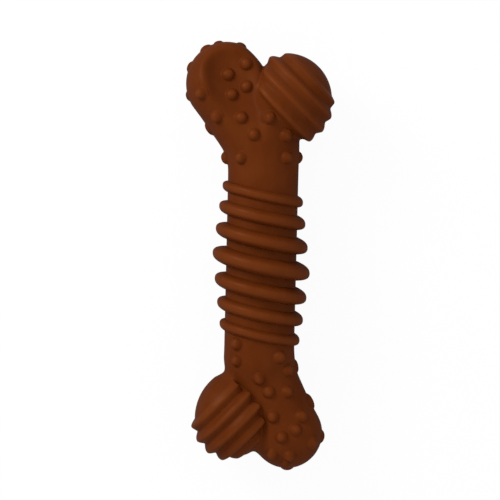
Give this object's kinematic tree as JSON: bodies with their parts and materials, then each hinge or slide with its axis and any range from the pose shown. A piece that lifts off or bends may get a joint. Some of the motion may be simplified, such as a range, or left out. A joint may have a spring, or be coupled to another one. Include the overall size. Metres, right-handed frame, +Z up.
{
  "type": "rubber dog chew bone",
  "caption": "Solid rubber chew bone for a dog: a round bar with slanting rings between two heads, with a scooped lobe, ribbed lobes and raised nubs",
  "frame": {"origin": "centre of the bounding box's underside, where the bone lies flat on its tallest ring", "axes": "+Y along the bone towards the head with the scoop, +X to the right as seen from above, +Z up out of the pictured face"},
  "size_m": [0.0592, 0.1718, 0.039],
  "materials": {
    "rubber": "satin moulded rubber"
  },
  "bodies": {
    "root": {"bar": "rubber", "ring_1": "rubber", "ring_2": "rubber", "ring_3": "rubber", "ring_4": "rubber", "ring_5": "rubber", "ring_6": "rubber", "ring_7": "rubber", "scoop_neck": "rubber", "scoop_lobe": "rubber", "upper_ribbed_lobe": "rubber", "lower_neck": "rubber", "lower_ribbed_lobe": "rubber", "nubbed_lobe": "rubber", "scoop_face_nubs": "rubber", "scoop_rim_nubs": "rubber", "scoop_neck_nubs": "rubber", "nubbed_face_nubs": "rubber", "nubbed_rim_nubs": "rubber", "lower_neck_nubs": "rubber"}
  },
  "joints": []
}
